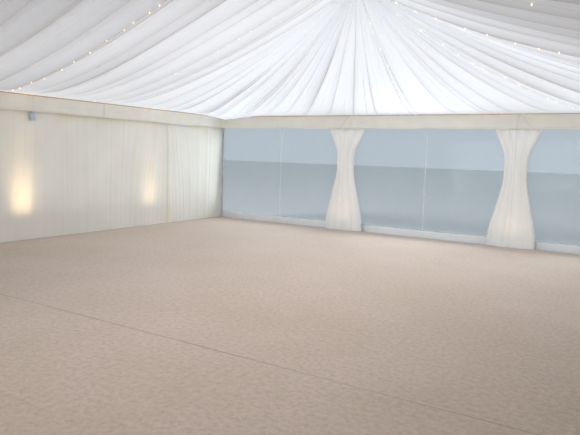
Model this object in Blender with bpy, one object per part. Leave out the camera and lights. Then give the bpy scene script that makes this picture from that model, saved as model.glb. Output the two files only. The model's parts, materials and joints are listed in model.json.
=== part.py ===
"""A frame marquee, 9 m wide and 12 m long, with hipped ends, in 3 m bays.

Metres, +Z up. +Y points to the back, where the end wall is clear. The origin is on the ground,
in the middle of the plan. Aluminium portal frames and legs carry a tensioned cover, and a gathered
lining hangs inside them from the eaves up to a rail under the ridge.
"""

import math

import bmesh
import bpy
from mathutils import Vector

# Plan: three bays across each end and four along each side. The ridge stops one bay short of the
# ends, and the cover's hips start at the end of the ridge beam, just past the last portal frame
BAY_LENGTH = 3.0
END_BAYS = 3
SIDE_BAYS = 4

# Clearance between pieces that touch, and the half seam between sheets that meet at a mitre
FIT = 0.0003
HALF_SEAM = 0.0003

# Frame sections
LEG_SIDE = 0.08
RAFTER_WIDTH = 0.06
RAFTER_DEPTH = 0.08
PORTAL_DEPTH = 0.10
RIDGE_WIDTH = 0.08
RIDGE_DEPTH = 0.09
CROWN_WIDTH = 0.34
CROWN_LENGTH = 0.12
CROWN_DEPTH = 0.20
CROWN_STEP = 0.006
RAIL_THICKNESS = 0.04
RAIL_DEPTH = 0.12

# Base plates run outwards from the leg's inner face, where the ground stakes go
PLATE_REACH = 0.22
PLATE_WIDTH = 0.16
PLATE_THICKNESS = 0.010
WELD_SINK = 0.006

# Outer roof: the eave's height, the rise to the ridge, and the valance outside the eave rail
EAVE_HEIGHT = 2.28
ROOF_RISE = 1.67
VALANCE_DROP = 0.20
COVER_THICKNESS = 0.004
HIP_TIP = 0.012

# Outer walls and their clear panels
WALL_THICKNESS = 0.004
WALL_FOOT = 0.012
WINDOW_SILL = 0.15
WINDOW_HEADER = 0.12
WINDOW_MARGIN = 0.085
CORNER_MARGIN = 0.05

# Roof lining: how far it starts under the eave, its rise, and how much it sags on the way up
LINING_DROP = 0.125
LINING_RISE = 1.40
LINING_THICKNESS = 0.004
LINING_STEPS = 10
LINING_STRAIGHT_SHARE = 0.22
LINING_SAG_POWER = 1.72
LINING_TIP = 0.010
LINING_RAIL_WIDTH = 0.03
LINING_RAIL_DEPTH = 0.022
HANGER_SIDE = 0.02

# Curtains inside the legs, and the pelmet that covers their heading
CURTAIN_DEPTH = 0.04
CURTAIN_TUCK = 0.025
PELMET_DEPTH = 0.235
PELMET_THICKNESS = 0.03

# Floor: a boarded deck, and carpet in two widths with the joint across the room
DECK_THICKNESS = 0.034
CARPET_THICKNESS = 0.006
BACK_CARPET_LENGTH = 6.61

# Leg drapes: pinned wide under the pelmet, tied in round the leg and let out again to the floor
DRAPE_HEAD_WIDTH = 0.73
DRAPE_TIE_WIDTH = 0.35
DRAPE_HEM_WIDTH = 0.76
DRAPE_HEAD_DEPTH = 0.036
DRAPE_TIE_DEPTH = 0.10
DRAPE_HEM_DEPTH = 0.13
DRAPE_TIE_TOP = 1.48
DRAPE_TIE_FOOT = 1.12
DRAPE_STEPS = 4
DRAPE_SIDES = 10

# Small control box for the string lights, hung in the middle of a bay of the left curtain
BOX_DEPTH = 0.035
BOX_WIDTH = 0.085
BOX_HEIGHT = 0.125
BOX_GAP = 0.01

# Legs and the faces that several pieces share
HALF_WIDTH = BAY_LENGTH * END_BAYS / 2
HALF_LENGTH = BAY_LENGTH * SIDE_BAYS / 2
RIDGE_HALF = HALF_LENGTH - BAY_LENGTH
RIDGE_END = RIDGE_HALF + LEG_SIDE / 2
END_LEG_X = HALF_WIDTH - BAY_LENGTH
LEG_IN_X = HALF_WIDTH - LEG_SIDE / 2
LEG_IN_Y = HALF_LENGTH - LEG_SIDE / 2
LEG_OUT_X = HALF_WIDTH + LEG_SIDE / 2
LEG_OUT_Y = HALF_LENGTH + LEG_SIDE / 2
EAVE_X = LEG_OUT_X + RAIL_THICKNESS
EAVE_Y = LEG_OUT_Y + RAIL_THICKNESS
INSIDE_X = LEG_IN_X - FIT
INSIDE_Y = LEG_IN_Y - FIT
CURTAIN_IN_X = INSIDE_X - CURTAIN_DEPTH
CURTAIN_IN_Y = INSIDE_Y - CURTAIN_DEPTH

# Levels that follow from the eave
RIDGE_HEIGHT = EAVE_HEIGHT + ROOF_RISE
SIDE_SLOPE = ROOF_RISE / EAVE_X
END_SLOPE = ROOF_RISE / (EAVE_Y - RIDGE_END)
WALL_TOP = EAVE_HEIGHT - RAIL_DEPTH - FIT
WINDOW_HEAD = WALL_TOP - WINDOW_HEADER
LINING_EAVE = EAVE_HEIGHT - LINING_DROP
LINING_TOP = LINING_EAVE + LINING_RISE
CURTAIN_TOP = LINING_EAVE - CURTAIN_TUCK
PELMET_FOOT = LINING_EAVE - PELMET_DEPTH
FLOOR_TOP = DECK_THICKNESS + FIT + CARPET_THICKNESS

SIDES = (("left", -1), ("right", 1))
ENDS = (("back", 1), ("front", -1))


def material(name, colour, roughness, metallic=0.0, alpha=1.0):
    """A plain surface in the part's own colour."""
    made = bpy.data.materials.new(name)
    made.use_nodes = True
    shader = made.node_tree.nodes["Principled BSDF"]
    shader.inputs["Base Color"].default_value = (*colour, 1.0)
    shader.inputs["Roughness"].default_value = roughness
    shader.inputs["Metallic"].default_value = metallic
    shader.inputs["Alpha"].default_value = alpha
    made.diffuse_color = (*colour, alpha)
    return made


def loft(name, rings, finish):
    """A closed solid through rings of points, each ring with as many points, and capped at both ends."""
    mesh = bmesh.new()
    rows = [[mesh.verts.new(Vector(point)) for point in ring] for ring in rings]
    count = len(rows[0])
    for lower, upper in zip(rows, rows[1:]):
        for i in range(count):
            j = (i + 1) % count
            mesh.faces.new((lower[i], lower[j], upper[j], upper[i]))
    mesh.faces.new(rows[0])
    mesh.faces.new(rows[-1])
    bmesh.ops.recalc_face_normals(mesh, faces=mesh.faces)
    data = bpy.data.meshes.new(name)
    mesh.to_mesh(data)
    mesh.free()
    data.materials.append(finish)
    made = bpy.data.objects.new(name, data)
    bpy.context.scene.collection.objects.link(made)
    return made


def block(name, low, high, finish):
    """A rectangular solid between two corners."""
    rings = [
        [(low[0], low[1], z), (high[0], low[1], z), (high[0], high[1], z), (low[0], high[1], z)]
        for z in (low[2], high[2])
    ]
    return loft(name, rings, finish)


def combine(target, tools, operation):
    """Joins the tools to the target, or cuts them from it, and leaves one solid."""
    for tool in tools:
        step = target.modifiers.new(operation.lower(), "BOOLEAN")
        step.operation = operation
        step.object = tool
    bpy.context.view_layer.update()
    evaluated = target.evaluated_get(bpy.context.evaluated_depsgraph_get())
    solid = bpy.data.meshes.new_from_object(evaluated)
    target.modifiers.clear()
    target.data = solid
    for tool in tools:
        bpy.data.objects.remove(tool)
    return target


def side_under(x):
    """Height of the cover's underside on the side slopes."""
    return RIDGE_HEIGHT + FIT - SIDE_SLOPE * abs(x)


def end_under(y):
    """Height of the cover's underside on the hipped ends."""
    return RIDGE_HEIGHT + FIT - END_SLOPE * (abs(y) - RIDGE_END)


def roof_under(x, y):
    """Height of the cover's underside anywhere."""
    return min(side_under(x), end_under(y))


def lining_under(inward):
    """Height of the lining's lower face, from 0 at the eaves to 1 at its top."""
    sag = LINING_STRAIGHT_SHARE * inward + (1 - LINING_STRAIGHT_SHARE) * inward**LINING_SAG_POWER
    return LINING_EAVE + (LINING_TOP - LINING_EAVE) * sag


def mitred(name, profile, side, along_y, plan, finish):
    """A sheet with a constant section that ends on the hip lines at both ends.

    profile holds (distance from the middle of the plan, height). A side sheet runs along Y and an
    end sheet along X. plan is (half width, half length, half the ridge): the hips run from the
    corner of the plan to the end of the ridge.
    """
    half_width, half_length, ridge_half = plan
    run = (half_length - ridge_half) / half_width
    rings = []
    for end in (-1, 1):
        ring = []
        for distance, height in profile:
            if along_y:
                reach = ridge_half + distance * run - HALF_SEAM
                ring.append((side * distance, end * reach, height))
            else:
                reach = (distance - ridge_half) / run - HALF_SEAM
                ring.append((end * reach, side * distance, height))
        rings.append(ring)
    return loft(name, rings, finish)


def cover_profile(start, edge, under, outer):
    """Section of a cover sheet: its slope, and the valance that hangs outside the eave rail."""
    foot = EAVE_HEIGHT - VALANCE_DROP
    return [
        (start, under(start)),
        (edge, under(edge)),
        (edge, foot),
        (outer, foot),
        (outer, under(outer) + COVER_THICKNESS),
        (start, under(start) + COVER_THICKNESS),
    ]


def roof_covers(finish):
    """Four sheets of cover that meet at the ridge and on the hips."""
    edge_x, edge_y = EAVE_X + FIT, EAVE_Y + FIT
    plan = (EAVE_X, EAVE_Y, RIDGE_END)
    side = cover_profile(HALF_SEAM, edge_x, side_under, edge_x + COVER_THICKNESS)
    end = cover_profile(RIDGE_END + HIP_TIP, edge_y, end_under, edge_y + COVER_THICKNESS)
    for name, sign in SIDES:
        mitred(f"roof_cover_{name}", side, sign, True, plan, finish)
    for name, sign in ENDS:
        mitred(f"roof_cover_{name}", end, sign, False, plan, finish)


def lining_profile(inner, outer):
    """Section of a lining sheet from outer, at the eaves, in to inner, lower face then upper face."""
    steps = [i / LINING_STEPS for i in range(LINING_STEPS + 1)]
    lower = [(outer + (inner - outer) * step, lining_under(step)) for step in steps]
    upper = [(distance, height + LINING_THICKNESS) for distance, height in reversed(lower)]
    return lower + upper


def roof_linings(finish):
    """Four sagging sheets of lining, under the four sheets of cover."""
    plan = (INSIDE_X, INSIDE_Y, RIDGE_HALF)
    side = lining_profile(HALF_SEAM, INSIDE_X)
    end = lining_profile(RIDGE_HALF + LINING_TIP, INSIDE_Y)
    for name, sign in SIDES:
        mitred(f"roof_lining_{name}", side, sign, True, plan, finish)
    for name, sign in ENDS:
        mitred(f"roof_lining_{name}", end, sign, False, plan, finish)


def base_plate(x, y, out_x, out_y, finish):
    """A plate under a leg at (x, y), which runs out by PLATE_REACH along each outward direction."""
    low, high = [0.0, 0.0], [0.0, 0.0]
    for axis, (centre, out) in enumerate(((x, out_x), (y, out_y))):
        inner = centre - out * LEG_SIDE / 2
        ends = (inner, inner + out * PLATE_REACH) if out else (centre - PLATE_WIDTH / 2, centre + PLATE_WIDTH / 2)
        low[axis], high[axis] = min(ends), max(ends)
    return block("base_plate", (*low, 0), (*high, PLATE_THICKNESS), finish)


def portal_frame(name, y, finish):
    """Two legs and two rafters bolted into one bent frame, with a notch for the ridge beam."""
    foot = PLATE_THICKNESS - WELD_SINK
    notch_x = RIDGE_WIDTH / 2 + FIT
    notch_z = RIDGE_HEIGHT - RIDGE_DEPTH - FIT
    right = [
        (LEG_IN_X, foot),
        (LEG_OUT_X, foot),
        (LEG_OUT_X, side_under(LEG_OUT_X) - FIT),
        (notch_x, side_under(notch_x) - FIT),
        (notch_x, notch_z),
    ]
    left = [(-x, z) for x, z in reversed(right)]
    inner = [
        (-LEG_IN_X, side_under(LEG_IN_X) - PORTAL_DEPTH),
        (-RIDGE_WIDTH, notch_z - PORTAL_DEPTH),
        (RIDGE_WIDTH, notch_z - PORTAL_DEPTH),
        (LEG_IN_X, side_under(LEG_IN_X) - PORTAL_DEPTH),
    ]
    outline = right + left + inner
    rings = [[(x, face, z) for x, z in outline] for face in (y - LEG_SIDE / 2, y + LEG_SIDE / 2)]
    frame = loft(name, rings, finish)
    plates = [base_plate(sign * HALF_WIDTH, y, sign, 0, finish) for _, sign in SIDES]
    return combine(frame, plates, "UNION")


def ridge_beam(finish):
    """The beam over the portal frames, with a top that follows the two slopes."""
    half = RIDGE_WIDTH / 2
    foot = RIDGE_HEIGHT - RIDGE_DEPTH
    section = [
        (-half, foot),
        (half, foot),
        (half, side_under(half) - FIT),
        (0, RIDGE_HEIGHT),
        (-half, side_under(half) - FIT),
    ]
    rings = [[(x, end * RIDGE_END, z) for x, z in section] for end in (-1, 1)]
    return loft("ridge_beam", rings, finish)


def rafter(start, end, finish):
    """A rafter between two points of the plan, with its top just under the cover."""
    along = Vector((end[0] - start[0], end[1] - start[1])).normalized()
    across = Vector((-along.y, along.x)) * RAFTER_WIDTH / 2
    rings = []
    for point in (start, end):
        centre = Vector(point)
        left, right = centre + across, centre - across
        foot = roof_under(*centre) - FIT - RAFTER_DEPTH
        rings.append([
            (*left, foot),
            (*right, foot),
            (*right, roof_under(*right) - FIT),
            (*left, roof_under(*left) - FIT),
        ])
    return loft("rafter", rings, finish)


def rafter_foot(target_x, target_y, sign_y):
    """Where a rafter from the ridge's end towards (target_x, target_y) stops, inside the eave rails."""
    direction = Vector((target_x, target_y - RIDGE_END))
    unit = direction.normalized()
    half_x = abs(unit.y) * RAFTER_WIDTH / 2
    half_y = abs(unit.x) * RAFTER_WIDTH / 2
    share = (LEG_OUT_Y - RIDGE_END - half_y) / direction.y
    if direction.x:
        share = min(share, (LEG_OUT_X - half_x) / abs(direction.x))
    return direction.x * share, sign_y * (RIDGE_END + direction.y * share)


def rafter_feet(sign_y):
    """The feet of an end's four rafters: over the corner legs, and over the two legs between them."""
    corners = [rafter_foot(sign * EAVE_X, EAVE_Y, sign_y) for _, sign in SIDES]
    between = [rafter_foot(sign * END_LEG_X, HALF_LENGTH, sign_y) for _, sign in SIDES]
    return corners, between


def hip_rafters(name, sign_y, finish):
    """Four rafters that fan out from a crown bracket at the end of the ridge."""
    near = RIDGE_END + FIT
    far = near + CROWN_LENGTH
    foot = RIDGE_HEIGHT - CROWN_DEPTH - FIT
    half = CROWN_WIDTH / 2
    corners = [(-half, near), (half, near), (half, far), (-half, far)]
    rings = [
        [(x, sign_y * y, foot) for x, y in corners],
        [(x, sign_y * y, roof_under(x, y) - CROWN_STEP) for x, y in corners],
    ]
    crown = loft(name, rings, finish)
    start_y = near + CROWN_LENGTH / 3
    rafters = []
    for feet in rafter_feet(sign_y):
        for x, y in feet:
            share = (start_y - RIDGE_END) / (abs(y) - RIDGE_END)
            rafters.append(rafter((x * share, sign_y * start_y), (x, y), finish))
    return combine(crown, rafters, "UNION")


def standing_leg(name, x, y, out_x, out_y, top, finish):
    """A square leg on its base plate."""
    half = LEG_SIDE / 2
    foot = PLATE_THICKNESS - WELD_SINK
    leg = block(name, (x - half, y - half, foot), (x + half, y + half, top), finish)
    return combine(leg, [base_plate(x, y, out_x, out_y, finish)], "UNION")


def standing_legs(finish):
    """The corner legs and the two legs between them at each end, up to the rafters' undersides."""
    for end, sign_y in ENDS:
        corners, between = rafter_feet(sign_y)
        for (side, sign_x), foot in zip(SIDES, corners):
            top = roof_under(*foot) - FIT - RAFTER_DEPTH - FIT
            x, y = sign_x * HALF_WIDTH, sign_y * HALF_LENGTH
            standing_leg(f"corner_leg_{end}_{side}", x, y, sign_x, sign_y, top, finish)
        for (side, sign_x), foot in zip(SIDES, between):
            top = roof_under(*foot) - FIT - RAFTER_DEPTH - FIT
            x, y = sign_x * END_LEG_X, sign_y * HALF_LENGTH
            standing_leg(f"end_leg_{end}_{side}", x, y, 0, sign_y, top, finish)


def eave_rails(finish):
    """Rails fixed outside the legs, which carry the cover's edge and the walls."""
    foot = EAVE_HEIGHT - RAIL_DEPTH
    for side, sign in SIDES:
        ends = sorted((sign * (LEG_OUT_X + FIT), sign * EAVE_X))
        block(f"eave_rail_{side}", (ends[0], -EAVE_Y, foot), (ends[1], EAVE_Y, EAVE_HEIGHT), finish)
    for end, sign in ENDS:
        ends = sorted((sign * (LEG_OUT_Y + FIT), sign * EAVE_Y))
        block(f"eave_rail_{end}", (-LEG_OUT_X, ends[0], foot), (LEG_OUT_X, ends[1], EAVE_HEIGHT), finish)


def lining_rail(finish):
    """The batten that the lining's top hangs from, with a hanger up to each portal frame."""
    foot = LINING_TOP + LINING_THICKNESS + FIT
    top = foot + LINING_RAIL_DEPTH
    half = LINING_RAIL_WIDTH / 2
    rail = block("lining_ridge_rail", (-half, -RIDGE_HALF, foot), (half, RIDGE_HALF, top), finish)
    rafter_foot_z = RIDGE_HEIGHT - RIDGE_DEPTH - FIT - PORTAL_DEPTH
    thick = HANGER_SIDE / 2
    hangers = []
    for y in (-RIDGE_HALF + thick * 2, 0, RIDGE_HALF - thick * 2):
        low = (-thick, y - thick, foot + LINING_RAIL_DEPTH / 2)
        hangers.append(block("hanger", low, (thick, y + thick, rafter_foot_z - FIT), finish))
    return combine(rail, hangers, "UNION")


def window_edges(left, right):
    """A bay's window between two leg lines, wider where the bay ends at a corner."""
    low = left + (CORNER_MARGIN if left == -HALF_WIDTH else WINDOW_MARGIN)
    high = right - (CORNER_MARGIN if right == HALF_WIDTH else WINDOW_MARGIN)
    return low, high


def glazed_wall(name, x_low, x_high, bays, sign_y, wall_finish, clear_finish):
    """An end wall with a window cut through for each bay, and the clear panel that closes it."""
    faces = sorted((sign_y * (LEG_OUT_Y + FIT), sign_y * (LEG_OUT_Y + FIT + WALL_THICKNESS)))
    wall = block(name, (x_low, faces[0], WALL_FOOT), (x_high, faces[1], WALL_TOP), wall_finish)
    cutters = []
    for window, left, right in bays:
        low, high = window_edges(left, right)
        reach = WALL_THICKNESS * 4
        cutters.append(block(
            "cutter",
            (low, faces[0] - reach, WINDOW_SILL),
            (high, faces[1] + reach, WINDOW_HEAD),
            wall_finish,
        ))
        block(
            window,
            (low + FIT, faces[0], WINDOW_SILL + FIT),
            (high - FIT, faces[1], WINDOW_HEAD - FIT),
            clear_finish,
        )
    return combine(wall, cutters, "DIFFERENCE")


def outer_walls(wall_finish, clear_finish):
    """Plain side walls, a clear back wall, and a clear front wall with its middle bay left open."""
    for side, sign in SIDES:
        faces = sorted((sign * (LEG_OUT_X + FIT), sign * (LEG_OUT_X + FIT + WALL_THICKNESS)))
        reach = LEG_OUT_Y + FIT + WALL_THICKNESS
        block(f"outer_wall_{side}", (faces[0], -reach, WALL_FOOT), (faces[1], reach, WALL_TOP), wall_finish)
    back_bays = [
        ("window_back_left", -HALF_WIDTH, -END_LEG_X),
        ("window_back_middle", -END_LEG_X, END_LEG_X),
        ("window_back_right", END_LEG_X, HALF_WIDTH),
    ]
    glazed_wall("back_wall", -LEG_OUT_X, LEG_OUT_X, back_bays, 1, wall_finish, clear_finish)
    door = END_LEG_X - LEG_SIDE / 2
    left_bay = [("window_front_left", -HALF_WIDTH, -END_LEG_X)]
    right_bay = [("window_front_right", END_LEG_X, HALF_WIDTH)]
    glazed_wall("front_wall_left", -LEG_OUT_X, -door, left_bay, -1, wall_finish, clear_finish)
    glazed_wall("front_wall_right", door, LEG_OUT_X, right_bay, -1, wall_finish, clear_finish)


def wall_linings(finish):
    """The gathered curtains along both sides, inside the legs."""
    for side, sign in SIDES:
        faces = sorted((sign * CURTAIN_IN_X, sign * INSIDE_X))
        low = (faces[0], -INSIDE_Y, FLOOR_TOP + FIT)
        block(f"wall_lining_{side}", low, (faces[1], INSIDE_Y, CURTAIN_TOP), finish)


def pelmets(finish):
    """The band of cloth that hangs all round under the lining's edge, clear of the curtains."""
    outer_x, outer_y = CURTAIN_IN_X - FIT, CURTAIN_IN_Y - FIT
    inner_x, inner_y = outer_x - PELMET_THICKNESS, outer_y - PELMET_THICKNESS
    for side, sign in SIDES:
        faces = sorted((sign * inner_x, sign * outer_x))
        top = lining_under(1 - outer_x / INSIDE_X) - FIT
        block(f"pelmet_{side}", (faces[0], -outer_y, PELMET_FOOT), (faces[1], outer_y, top), finish)
    for end, sign in ENDS:
        faces = sorted((sign * inner_y, sign * outer_y))
        top = lining_under(1 - (outer_y - RIDGE_HALF) / (INSIDE_Y - RIDGE_HALF)) - FIT
        reach = inner_x - FIT
        block(f"pelmet_{end}", (-reach, faces[0], PELMET_FOOT), (reach, faces[1], top), finish)


def drape_sections():
    """(height, half width, depth) down a leg drape, eased between its heading, tie and hem."""
    keys = (
        (CURTAIN_TOP, DRAPE_HEAD_WIDTH / 2, DRAPE_HEAD_DEPTH),
        (PELMET_FOOT, DRAPE_HEAD_WIDTH / 2, DRAPE_HEAD_DEPTH),
        (DRAPE_TIE_TOP, DRAPE_TIE_WIDTH / 2, DRAPE_TIE_DEPTH),
        (DRAPE_TIE_FOOT, DRAPE_TIE_WIDTH / 2, DRAPE_TIE_DEPTH),
        (FLOOR_TOP + FIT, DRAPE_HEM_WIDTH / 2, DRAPE_HEM_DEPTH),
    )
    sections = [keys[0]]
    for upper, lower in zip(keys, keys[1:]):
        for i in range(1, DRAPE_STEPS + 1):
            share = i / DRAPE_STEPS
            eased = (1 - math.cos(math.pi * share)) / 2
            height = upper[0] + (lower[0] - upper[0]) * share
            sections.append((height, *(a + (b - a) * eased for a, b in zip(upper[1:], lower[1:]))))
    return sections


def leg_drapes(finish):
    """Cloth pinned wide behind the pelmet, tied in round the leg and let out again to the floor."""
    for end, sign_y in ENDS:
        for side, sign_x in SIDES:
            rings = []
            for height, half_width, depth in drape_sections():
                ring = []
                for i in range(DRAPE_SIDES + 1):
                    angle = math.pi * i / DRAPE_SIDES
                    x = sign_x * END_LEG_X + half_width * math.cos(angle)
                    y = sign_y * (INSIDE_Y - depth * math.sin(angle))
                    ring.append((x, y, height))
                rings.append(ring)
            loft(f"leg_drape_{end}_{side}", rings, finish)


def floor(deck_finish, carpet_finish):
    """A boarded deck between the legs, and the carpet's two widths on it."""
    block("floor_deck", (-INSIDE_X, -INSIDE_Y, 0), (INSIDE_X, INSIDE_Y, DECK_THICKNESS), deck_finish)
    foot = DECK_THICKNESS + FIT
    joint = INSIDE_Y - BACK_CARPET_LENGTH
    for end, low, high in (("front", -INSIDE_Y, joint - FIT), ("back", joint, INSIDE_Y)):
        block(f"carpet_{end}", (-INSIDE_X, low, foot), (INSIDE_X, high, FLOOR_TOP), carpet_finish)


def control_box(finish):
    """A small box that hangs against the left curtain, under the pelmet."""
    back = -CURTAIN_IN_X + FIT
    top = PELMET_FOOT - BOX_GAP
    near = BAY_LENGTH / 2 - BOX_WIDTH / 2
    low = (back, near, top - BOX_HEIGHT)
    return block("light_control_box", low, (back + BOX_DEPTH, near + BOX_WIDTH, top), finish)


def build():
    for old in list(bpy.data.objects):
        bpy.data.objects.remove(old)
    aluminium = material("frame_aluminium", (0.72, 0.73, 0.75), 0.38, 1.0)
    cover = material("cover_pvc", (0.90, 0.90, 0.88), 0.45)
    clear = material("clear_pvc", (0.86, 0.92, 0.95), 0.08, alpha=0.25)
    lining = material("lining_cloth", (0.93, 0.93, 0.92), 0.85)
    ivory = material("ivory_cloth", (0.86, 0.81, 0.70), 0.88)
    boards = material("floor_boards", (0.45, 0.33, 0.20), 0.70)
    carpet = material("carpet", (0.55, 0.46, 0.38), 0.95)
    grey = material("grey_plastic", (0.33, 0.37, 0.42), 0.50)

    for name, y in (("back", RIDGE_HALF), ("middle", 0), ("front", -RIDGE_HALF)):
        portal_frame(f"portal_frame_{name}", y, aluminium)
    ridge_beam(aluminium)
    for end, sign in ENDS:
        hip_rafters(f"hip_rafters_{end}", sign, aluminium)
    standing_legs(aluminium)
    eave_rails(aluminium)
    lining_rail(aluminium)
    roof_covers(cover)
    outer_walls(cover, clear)
    roof_linings(lining)
    pelmets(ivory)
    wall_linings(ivory)
    leg_drapes(ivory)
    floor(boards, carpet)
    control_box(grey)


build()
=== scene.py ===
"""Looks of the frame marquee: pleated lining, curtains, pelmets, drapes, clear walls and cover.

Metres, +Z up, +Y towards the clear back wall, in the frame's own coordinates. Each soft piece is a
curved sheet that hangs where its solid is, and every size that they share is read from the frame.
"""

import json
import math

import bmesh
import bpy
import numpy as np
from mathutils import Matrix, Vector
from mathutils.bvhtree import BVHTree

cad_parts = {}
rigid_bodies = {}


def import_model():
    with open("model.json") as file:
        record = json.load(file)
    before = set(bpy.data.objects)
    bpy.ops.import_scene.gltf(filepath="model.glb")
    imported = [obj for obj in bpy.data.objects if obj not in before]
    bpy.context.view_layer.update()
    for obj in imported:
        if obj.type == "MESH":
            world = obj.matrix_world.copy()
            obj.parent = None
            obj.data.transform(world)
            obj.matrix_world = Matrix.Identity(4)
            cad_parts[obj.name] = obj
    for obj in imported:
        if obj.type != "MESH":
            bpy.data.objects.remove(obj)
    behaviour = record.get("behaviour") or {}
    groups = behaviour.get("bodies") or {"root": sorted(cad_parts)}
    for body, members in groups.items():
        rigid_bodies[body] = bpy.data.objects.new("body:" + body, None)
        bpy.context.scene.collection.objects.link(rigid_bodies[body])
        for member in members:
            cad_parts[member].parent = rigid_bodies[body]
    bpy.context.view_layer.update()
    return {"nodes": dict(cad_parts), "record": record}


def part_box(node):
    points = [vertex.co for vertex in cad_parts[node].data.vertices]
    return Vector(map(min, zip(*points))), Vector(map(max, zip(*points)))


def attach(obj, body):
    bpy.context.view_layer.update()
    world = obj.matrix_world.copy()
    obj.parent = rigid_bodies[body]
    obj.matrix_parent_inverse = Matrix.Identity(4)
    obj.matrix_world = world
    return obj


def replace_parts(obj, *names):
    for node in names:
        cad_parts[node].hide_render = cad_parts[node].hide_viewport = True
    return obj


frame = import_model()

SIDES = (("left", -1), ("right", 1))
ENDS = (("back", 1), ("front", -1))

# Places read from the frame: the lining's edge, top and ridge, the pelmet, the cover's top and eaves, and the
# ridge beam
BAY = 3.0
LINING_LOW, LINING_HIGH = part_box("roof_lining_left")
WALL_X = -LINING_LOW[0]
WALL_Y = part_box("roof_lining_back")[1][1]
LINING_THICKNESS = 0.004
EAVE_Z = LINING_LOW[2]
LINING_RISE = LINING_HIGH[2] - LINING_THICKNESS - EAVE_Z
RIDGE_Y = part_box("lining_ridge_rail")[1][1]
PELMET_LOW, PELMET_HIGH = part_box("pelmet_left")
PELMET_IN_X = -PELMET_HIGH[0]
PELMET_IN_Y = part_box("pelmet_back")[0][1]
PELMET_THICKNESS = PELMET_HIGH[0] - PELMET_LOW[0]
COVER_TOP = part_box("roof_cover_left")[1][2]
EAVE_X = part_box("roof_cover_right")[1][0]
EAVE_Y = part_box("roof_cover_back")[1][1]
COVER_RIDGE_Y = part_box("ridge_beam")[1][1]

# Roof lining: its sag, as the solids have it
STRAIGHT_SHARE = 0.22
SAG_POWER = 1.72
HIP_ROUNDING = 8.0

# Where its folds start along the eaves, and the place that they lean towards
LEFT_FOLDS = (
    -2.74, -2.62, -2.16, -1.80, -1.66, -1.24, -0.80, -0.66, -0.26, 0.08, 0.17, 0.52, 0.86,
    1.00, 1.30, 1.51, 1.91, 2.12, 2.44, 2.72, 2.84,
)
RIGHT_FOLDS = (-2.70, -2.21, -1.80, -1.33, -0.86, -0.41, 0.07, 0.48, 0.98, 1.43, 1.85, 2.31, 2.81)
BACK_FOLDS = (
    0.10, 0.62, 1.12, 1.50, 2.10, 2.24, 2.60, 3.30, 3.44, 4.02, 4.48, 4.95, 5.52, 6.03, 6.50, 7.16,
    7.30, 7.95, 8.42, 8.56, 8.95, 9.50, 10.28, 10.40, 11.02, 11.60, 12.10, 12.78, 12.90, 13.40, 14.05,
)
FRONT_FOLDS = (
    0.46, 0.93, 1.50, 1.96, 2.50, 3.05, 3.61, 4.10, 4.66, 5.20, 5.71, 6.32, 6.83,
    7.43, 7.97, 8.52, 9.03, 9.60, 10.12, 10.70, 11.21, 11.73, 12.34, 12.90, 13.42, 14.01, 14.46,
)
BACK_MIDDLE = 6.03
FRONT_MIDDLE = 7.43
FOLD_DEPTH = (0.16, 0.31)
LESSER_DEPTH = (0.02, 0.11)
DEEPEST_FOLD = 0.12
LESSER_WIDTH = 0.25
LINING_ROWS = 60

# How far the lining hangs down in the corners, and how far along the eaves that reaches
CORNER_SAG = 0.075
CORNER_REACH = 0.60

# String lights: where they start along the eaves, and how far up they go
SIDE_STRINGS = {"left": (-2.45, -0.80, 0.85, 2.47), "right": (-2.45, -0.80, 0.80, 2.80)}
END_STRINGS = (-0.17, 2.70)
STRING_REACH = (0.06, 0.94)
WIRE_RADIUS = 0.0009
WIRE_STEP = 0.05
WIRE_GAP = 0.006
WIRE_SAG = 0.012
CLIP_SPACING = 0.5

# A lamp's radius at heights from its wire, and its two ends
LAMP_OUTLINE = (
    (0.0017, 0.002), (0.0025, -0.001), (0.0027, -0.004), (0.0048, -0.007), (0.0054, -0.011), (0.0038, -0.015),
)
LAMP_TIP = -0.018
LAMP_CAP = 0.003

# The string lights' box leans a little on its wire
BOX_TILT = 9
BOX_WIRE_RADIUS = 0.0024

# Pelmets
PELMET_BEND = 0.10
PELMET_WAVE = 0.006
PUCKER_WIDTH = 0.085

# The edging over the side pelmets, and over the thinner-looking ones of the ends
EDGING_RADIUS = (0.0068, 0.0048)

# Daylight in the three clear bays: x, width and power
WINDOW_LIGHTS = ((-3.15, 2.4, 23), (0, 2.2, 30), (3.15, 2.4, 24))

# Small warm lights on the floor at the curtains and the back's drapes: x, y, power and spread
CURTAIN_LIGHTS = (
    (-4.15, 1.33, 0.45, 56), (-4.30, 1.33, 0.42, 24), (-4.15, 3.86, 0.28, 56), (-4.30, 3.86, 0.15, 24),
)
DRAPE_LIGHTS = ((-1.45, 5.5, 0.5, 130), (1.5, 5.5, 0.5, 130))
UPLIGHTS = (*CURTAIN_LIGHTS, *DRAPE_LIGHTS, *((-x, *rest) for x, *rest in CURTAIN_LIGHTS))

# Seams of the cover's valance, as shares of its depth
VALANCE_SEAMS = (0.12, 0.97)

# Curtains and drapes
CURTAIN_GAPS = (0.05, 0.19)
CURTAIN_STEP = 0.009
CURTAIN_ROWS = 30
GATHER_Y = 4.24
GATHER_REACH = 0.55
DRAPE_FOLDS = 6

# The camera, solved from the photograph's eaves, legs and roof folds in a frame of 580 by 435
PHOTO_WIDTH = 580
FOCAL_PIXELS = 570.4
CAMERA_PLACE = (3.228, -3.689, 1.418)
CAMERA_YAW = math.degrees(0.550075474)
CAMERA_PITCH = math.degrees(0.110273301)
CAMERA_ROLL = math.degrees(0.0311266899)
SENSOR = 36.0


def ramp(value, low, high):
    """0 below low, 1 above high and a smooth step between them."""
    share = np.clip((value - low) / (high - low), 0, 1)
    return share * share * (3 - 2 * share)


def bell(value, width, power=2):
    """1 at 0, falling to 0 past width on both sides."""
    return np.exp(-((value / width) ** power))


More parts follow.
